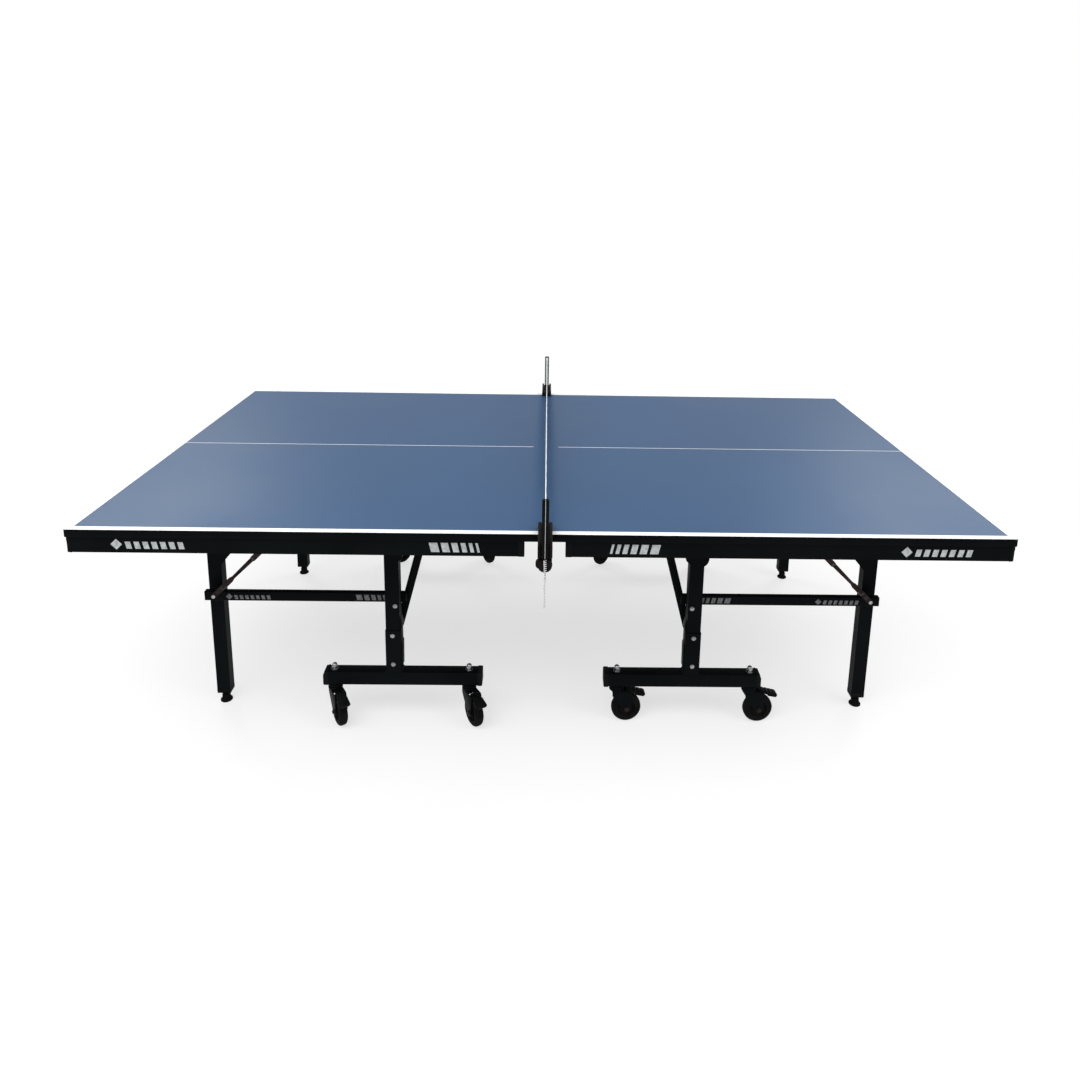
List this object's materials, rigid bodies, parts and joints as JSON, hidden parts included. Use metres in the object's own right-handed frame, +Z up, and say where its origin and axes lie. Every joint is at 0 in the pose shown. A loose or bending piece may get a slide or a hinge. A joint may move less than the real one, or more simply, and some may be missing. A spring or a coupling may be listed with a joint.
{
  "type": "table tennis table",
  "caption": "Folding indoor table tennis table: split blue top on black tube frames, wheeled T-foot trolleys, self-folding outer legs and a clamped net.",
  "frame": {"origin": "on the floor under the middle of the net", "axes": "+X along the table's length, Y across it along the net, +Z up"},
  "size_m": [2.74, 1.7667, 0.9125],
  "materials": {
    "frame_black": "fine textured black powder coat",
    "board_blue": "matt blue paint on fibreboard with white lines",
    "stay_brown": "dark brown black passivated steel",
    "wheel_black": "black tyre on black hub",
    "plastic_black": "moulded black plastic",
    "net_black": "knotted black mesh with a white top tape",
    "chain_white": "bright chain"
  },
  "bodies": {
    "left_trolley": {"left_trolley_frame": "frame_black", "left_near_t_foot": "frame_black", "left_far_t_foot": "frame_black"},
    "left_top": {"left_board": "board_blue", "left_apron_frame": "frame_black"},
    "left_legs": {"left_leg_frame": "frame_black"},
    "left_near_level": {"left_near_levelling_foot": "plastic_black"},
    "left_near_link": {"left_near_link_bar": "frame_black"},
    "left_near_strut_body": {"left_near_strut": "frame_black"},
    "left_near_stay_low": {"left_near_stay_lower": "stay_brown"},
    "left_near_stay_up": {"left_near_stay_upper": "stay_brown"},
    "left_near_inner_caster": {"left_near_inner_caster_fork": "frame_black"},
    "left_near_inner_caster_roller": {"left_near_inner_caster_wheel": "wheel_black"},
    "left_near_inner_pedal": {"left_near_inner_brake_pedal": "plastic_black"},
    "left_near_outer_caster": {"left_near_outer_caster_fork": "frame_black"},
    "left_near_outer_caster_roller": {"left_near_outer_caster_wheel": "wheel_black"},
    "left_near_outer_pedal": {"left_near_outer_brake_pedal": "plastic_black"},
    "left_far_level": {"left_far_levelling_foot": "plastic_black"},
    "left_far_link": {"left_far_link_bar": "frame_black"},
    "left_far_strut_body": {"left_far_strut": "frame_black"},
    "left_far_stay_low": {"left_far_stay_lower": "stay_brown"},
    "left_far_stay_up": {"left_far_stay_upper": "stay_brown"},
    "left_far_inner_caster": {"left_far_inner_caster_fork": "frame_black"},
    "left_far_inner_caster_roller": {"left_far_inner_caster_wheel": "wheel_black"},
    "left_far_outer_caster": {"left_far_outer_caster_fork": "frame_black"},
    "left_far_outer_caster_roller": {"left_far_outer_caster_wheel": "wheel_black"},
    "right_trolley": {"right_trolley_frame": "frame_black", "right_near_t_foot": "frame_black", "right_far_t_foot": "frame_black"},
    "right_top": {"right_board": "board_blue", "right_apron_frame": "frame_black"},
    "right_legs": {"right_leg_frame": "frame_black"},
    "right_near_level": {"right_near_levelling_foot": "plastic_black"},
    "right_near_link": {"right_near_link_bar": "frame_black"},
    "right_near_strut_body": {"right_near_strut": "frame_black"},
    "right_near_stay_low": {"right_near_stay_lower": "stay_brown"},
    "right_near_stay_up": {"right_near_stay_upper": "stay_brown"},
    "right_near_inner_caster": {"right_near_inner_caster_fork": "frame_black"},
    "right_near_inner_caster_roller": {"right_near_inner_caster_wheel": "wheel_black"},
    "right_near_inner_pedal": {"right_near_inner_brake_pedal": "plastic_black"},
    "right_near_outer_caster": {"right_near_outer_caster_fork": "frame_black"},
    "right_near_outer_caster_roller": {"right_near_outer_caster_wheel": "wheel_black"},
    "right_near_outer_pedal": {"right_near_outer_brake_pedal": "plastic_black"},
    "right_far_level": {"right_far_levelling_foot": "plastic_black"},
    "right_far_link": {"right_far_link_bar": "frame_black"},
    "right_far_strut_body": {"right_far_strut": "frame_black"},
    "right_far_stay_low": {"right_far_stay_lower": "stay_brown"},
    "right_far_stay_up": {"right_far_stay_upper": "stay_brown"},
    "right_far_inner_caster": {"right_far_inner_caster_fork": "frame_black"},
    "right_far_inner_caster_roller": {"right_far_inner_caster_wheel": "wheel_black"},
    "right_far_outer_caster": {"right_far_outer_caster_fork": "frame_black"},
    "right_far_outer_caster_roller": {"right_far_outer_caster_wheel": "wheel_black"},
    "net_assembly": {"net": "net_black", "near_net_support": "plastic_black", "far_net_support": "plastic_black", "tension_chain": "chain_white"},
    "near_jaw": {"near_clamp_jaw": "plastic_black"},
    "far_jaw": {"far_clamp_jaw": "plastic_black"}
  },
  "joints": [
    {"name": "left_fold", "type": "hinge", "parent": "left_trolley", "child": "left_top", "pos_m": [-0.483, 0, 0.692], "axis": [0, 1, 0], "range_deg": [0, 90]},
    {"name": "left_leg_swing", "type": "hinge", "parent": "left_top", "child": "left_legs", "pos_m": [-1.064, 0, 0.692], "axis": [0, -1, 0], "range_deg": [0, 90]},
    {"name": "left_near_level_screw", "type": "slide", "parent": "left_legs", "child": "left_near_level", "axis": [0, 0, -1], "range_m": [0, 0.012]},
    {"name": "left_near_link_swing", "type": "hinge", "parent": "left_trolley", "child": "left_near_link", "pos_m": [-0.483, -0.508, 0.42], "axis": [0, 1, 0], "range_deg": [0, 90]},
    {"name": "left_near_strut_swing", "type": "hinge", "parent": "left_top", "child": "left_near_strut_body", "pos_m": [-0.3725, -0.487, 0.692], "axis": [0, -1, 0], "range_deg": [0, 104.82]},
    {"name": "left_near_stay_lower_swing", "type": "hinge", "parent": "left_legs", "child": "left_near_stay_low", "pos_m": [-1.064, -0.521, 0.42], "axis": [0, -1, 0], "range_deg": [0, 45]},
    {"name": "left_near_stay_upper_swing", "type": "hinge", "parent": "left_top", "child": "left_near_stay_up", "pos_m": [-0.792, -0.5255, 0.692], "axis": [0, 1, 0], "range_deg": [0, 45]},
    {"name": "left_near_inner_caster_swivel", "type": "hinge", "parent": "left_trolley", "child": "left_near_inner_caster", "pos_m": [-0.2415, -0.5425, 0.134], "axis": [0, 0, 1], "continuous": true},
    {"name": "left_near_inner_caster_roll", "type": "hinge", "parent": "left_near_inner_caster", "child": "left_near_inner_caster_roller", "pos_m": [-0.22348, -0.57133, 0.049], "axis": [0.848, 0.5299, 0], "continuous": true},
    {"name": "left_near_inner_brake_press", "type": "hinge", "parent": "left_near_inner_caster", "child": "left_near_inner_pedal", "pos_m": [-0.2203, -0.57642, 0.11], "axis": [0.848, 0.5299, 0], "range_deg": [0, 8], "stiffness_Nm_per_rad": 4, "springref_deg": -5.73},
    {"name": "left_near_outer_caster_swivel", "type": "hinge", "parent": "left_trolley", "child": "left_near_outer_caster", "pos_m": [-0.6785, -0.5425, 0.134], "axis": [0, 0, 1], "continuous": true},
    {"name": "left_near_outer_caster_roll", "type": "hinge", "parent": "left_near_outer_caster", "child": "left_near_outer_caster_roller", "pos_m": [-0.66048, -0.57133, 0.049], "axis": [0.848, 0.5299, 0], "continuous": true},
    {"name": "left_near_outer_brake_press", "type": "hinge", "parent": "left_near_outer_caster", "child": "left_near_outer_pedal", "pos_m": [-0.6573, -0.57642, 0.11], "axis": [0.848, 0.5299, 0], "range_deg": [0, 8], "stiffness_Nm_per_rad": 4, "springref_deg": -5.73},
    {"name": "left_far_level_screw", "type": "slide", "parent": "left_legs", "child": "left_far_level", "axis": [0, 0, -1], "range_m": [0, 0.012]},
    {"name": "left_far_link_swing", "type": "hinge", "parent": "left_trolley", "child": "left_far_link", "pos_m": [-0.483, 0.508, 0.42], "axis": [0, 1, 0], "range_deg": [0, 90]},
    {"name": "left_far_strut_swing", "type": "hinge", "parent": "left_top", "child": "left_far_strut_body", "pos_m": [-0.3725, 0.487, 0.692], "axis": [0, -1, 0], "range_deg": [0, 104.82]},
    {"name": "left_far_stay_lower_swing", "type": "hinge", "parent": "left_legs", "child": "left_far_stay_low", "pos_m": [-1.064, 0.521, 0.42], "axis": [0, -1, 0], "range_deg": [0, 45]},
    {"name": "left_far_stay_upper_swing", "type": "hinge", "parent": "left_top", "child": "left_far_stay_up", "pos_m": [-0.792, 0.5255, 0.692], "axis": [0, 1, 0], "range_deg": [0, 45]},
    {"name": "left_far_inner_caster_swivel", "type": "hinge", "parent": "left_trolley", "child": "left_far_inner_caster", "pos_m": [-0.2415, 0.5425, 0.134], "axis": [0, 0, 1], "continuous": true},
    {"name": "left_far_inner_caster_roll", "type": "hinge", "parent": "left_far_inner_caster", "child": "left_far_inner_caster_roller", "pos_m": [-0.25901, 0.57164, 0.049], "axis": [-0.8572, -0.515, 0], "continuous": true},
    {"name": "left_far_outer_caster_swivel", "type": "hinge", "parent": "left_trolley", "child": "left_far_outer_caster", "pos_m": [-0.6785, 0.5425, 0.134], "axis": [0, 0, 1], "continuous": true},
    {"name": "left_far_outer_caster_roll", "type": "hinge", "parent": "left_far_outer_caster", "child": "left_far_outer_caster_roller", "pos_m": [-0.65531, 0.56737, 0.049], "axis": [-0.7314, 0.682, 0], "continuous": true},
    {"name": "right_fold", "type": "hinge", "parent": "right_trolley", "child": "right_top", "pos_m": [0.483, 0, 0.692], "axis": [0, -1, 0], "range_deg": [0, 90]},
    {"name": "right_leg_swing", "type": "hinge", "parent": "right_top", "child": "right_legs", "pos_m": [1.064, 0, 0.692], "axis": [0, 1, 0], "range_deg": [0, 90]},
    {"name": "right_near_level_screw", "type": "slide", "parent": "right_legs", "child": "right_near_level", "axis": [0, 0, -1], "range_m": [0, 0.012]},
    {"name": "right_near_link_swing", "type": "hinge", "parent": "right_trolley", "child": "right_near_link", "pos_m": [0.483, -0.508, 0.42], "axis": [0, -1, 0], "range_deg": [0, 90]},
    {"name": "right_near_strut_swing", "type": "hinge", "parent": "right_top", "child": "right_near_strut_body", "pos_m": [0.3725, -0.487, 0.692], "axis": [0, 1, 0], "range_deg": [0, 104.82]},
    {"name": "right_near_stay_lower_swing", "type": "hinge", "parent": "right_legs", "child": "right_near_stay_low", "pos_m": [1.064, -0.521, 0.42], "axis": [0, 1, 0], "range_deg": [0, 45]},
    {"name": "right_near_stay_upper_swing", "type": "hinge", "parent": "right_top", "child": "right_near_stay_up", "pos_m": [0.792, -0.5255, 0.692], "axis": [0, -1, 0], "range_deg": [0, 45]},
    {"name": "right_near_inner_caster_swivel", "type": "hinge", "parent": "right_trolley", "child": "right_near_inner_caster", "pos_m": [0.2415, -0.5425, 0.134], "axis": [0, 0, 1], "continuous": true},
    {"name": "right_near_inner_caster_roll", "type": "hinge", "parent": "right_near_inner_caster", "child": "right_near_inner_caster_roller", "pos_m": [0.27542, -0.54013, 0.049], "axis": [-0.0698, 0.9976, 0], "continuous": true},
    {"name": "right_near_inner_brake_press", "type": "hinge", "parent": "right_near_inner_caster", "child": "right_near_inner_pedal", "pos_m": [0.2814, -0.53971, 0.11], "axis": [-0.0698, 0.9976, 0], "range_deg": [0, 8], "stiffness_Nm_per_rad": 4, "springref_deg": -5.73},
    {"name": "right_near_outer_caster_swivel", "type": "hinge", "parent": "right_trolley", "child": "right_near_outer_caster", "pos_m": [0.6785, -0.5425, 0.134], "axis": [0, 0, 1], "continuous": true},
    {"name": "right_near_outer_caster_roll", "type": "hinge", "parent": "right_near_outer_caster", "child": "right_near_outer_caster_roller", "pos_m": [0.71242, -0.54013, 0.049], "axis": [-0.0698, 0.9976, 0], "continuous": true},
    {"name": "right_near_outer_brake_press", "type": "hinge", "parent": "right_near_outer_caster", "child": "right_near_outer_pedal", "pos_m": [0.7184, -0.53971, 0.11], "axis": [-0.0698, 0.9976, 0], "range_deg": [0, 8], "stiffness_Nm_per_rad": 4, "springref_deg": -5.73},
    {"name": "right_far_level_screw", "type": "slide", "parent": "right_legs", "child": "right_far_level", "axis": [0, 0, -1], "range_m": [0, 0.012]},
    {"name": "right_far_link_swing", "type": "hinge", "parent": "right_trolley", "child": "right_far_link", "pos_m": [0.483, 0.508, 0.42], "axis": [0, -1, 0], "range_deg": [0, 90]},
    {"name": "right_far_strut_swing", "type": "hinge", "parent": "right_top", "child": "right_far_strut_body", "pos_m": [0.3725, 0.487, 0.692], "axis": [0, 1, 0], "range_deg": [0, 104.82]},
    {"name": "right_far_stay_lower_swing", "type": "hinge", "parent": "right_legs", "child": "right_far_stay_low", "pos_m": [1.064, 0.521, 0.42], "axis": [0, 1, 0], "range_deg": [0, 45]},
    {"name": "right_far_stay_upper_swing", "type": "hinge", "parent": "right_top", "child": "right_far_stay_up", "pos_m": [0.792, 0.5255, 0.692], "axis": [0, -1, 0], "range_deg": [0, 45]},
    {"name": "right_far_inner_caster_swivel", "type": "hinge", "parent": "right_trolley", "child": "right_far_inner_caster", "pos_m": [0.2415, 0.5425, 0.134], "axis": [0, 0, 1], "continuous": true},
    {"name": "right_far_inner_caster_roll", "type": "hinge", "parent": "right_far_inner_caster", "child": "right_far_inner_caster_roller", "pos_m": [0.26469, 0.56737, 0.049], "axis": [-0.7314, 0.682, 0], "continuous": true},
    {"name": "right_far_outer_caster_swivel", "type": "hinge", "parent": "right_trolley", "child": "right_far_outer_caster", "pos_m": [0.6785, 0.5425, 0.134], "axis": [0, 0, 1], "continuous": true},
    {"name": "right_far_outer_caster_roll", "type": "hinge", "parent": "right_far_outer_caster", "child": "right_far_outer_caster_roller", "pos_m": [0.71217, 0.53777, 0.049], "axis": [0.1392, 0.9903, 0], "continuous": true},
    {"name": "right_roll", "type": "slide", "parent": "left_trolley", "child": "right_trolley", "axis": [1, 0, 0], "range_m": [0, 0.5]},
    {"name": "net_lift", "type": "slide", "parent": "left_trolley", "child": "net_assembly", "axis": [0, 0, 1], "range_m": [0, 0.25]},
    {"name": "near_jaw_open", "type": "hinge", "parent": "net_assembly", "child": "near_jaw", "pos_m": [0, -0.864, 0.717], "axis": [-1, 0, 0], "range_deg": [0, 10], "stiffness_Nm_per_rad": 3, "springref_deg": -11.46},
    {"name": "far_jaw_open", "type": "hinge", "parent": "net_assembly", "child": "far_jaw", "pos_m": [0, 0.864, 0.717], "axis": [1, 0, 0], "range_deg": [0, 10], "stiffness_Nm_per_rad": 3, "springref_deg": -11.46}
  ],
  "couplings": [
    {"joint": "left_leg_swing", "follows": "left_fold", "ratio": 1},
    {"joint": "left_near_link_swing", "follows": "left_fold", "ratio": 1},
    {"joint": "left_near_strut_swing", "follows": "left_fold", "ratio": 1.1646},
    {"joint": "left_near_stay_lower_swing", "follows": "left_fold", "ratio": 0.5},
    {"joint": "left_near_stay_upper_swing", "follows": "left_fold", "ratio": 0.5},
    {"joint": "left_far_link_swing", "follows": "left_fold", "ratio": 1},
    {"joint": "left_far_strut_swing", "follows": "left_fold", "ratio": 1.1646},
    {"joint": "left_far_stay_lower_swing", "follows": "left_fold", "ratio": 0.5},
    {"joint": "left_far_stay_upper_swing", "follows": "left_fold", "ratio": 0.5},
    {"joint": "right_leg_swing", "follows": "right_fold", "ratio": 1},
    {"joint": "right_near_link_swing", "follows": "right_fold", "ratio": 1},
    {"joint": "right_near_strut_swing", "follows": "right_fold", "ratio": 1.1646},
    {"joint": "right_near_stay_lower_swing", "follows": "right_fold", "ratio": 0.5},
    {"joint": "right_near_stay_upper_swing", "follows": "right_fold", "ratio": 0.5},
    {"joint": "right_far_link_swing", "follows": "right_fold", "ratio": 1},
    {"joint": "right_far_strut_swing", "follows": "right_fold", "ratio": 1.1646},
    {"joint": "right_far_stay_lower_swing", "follows": "right_fold", "ratio": 0.5},
    {"joint": "right_far_stay_upper_swing", "follows": "right_fold", "ratio": 0.5}
  ]
}
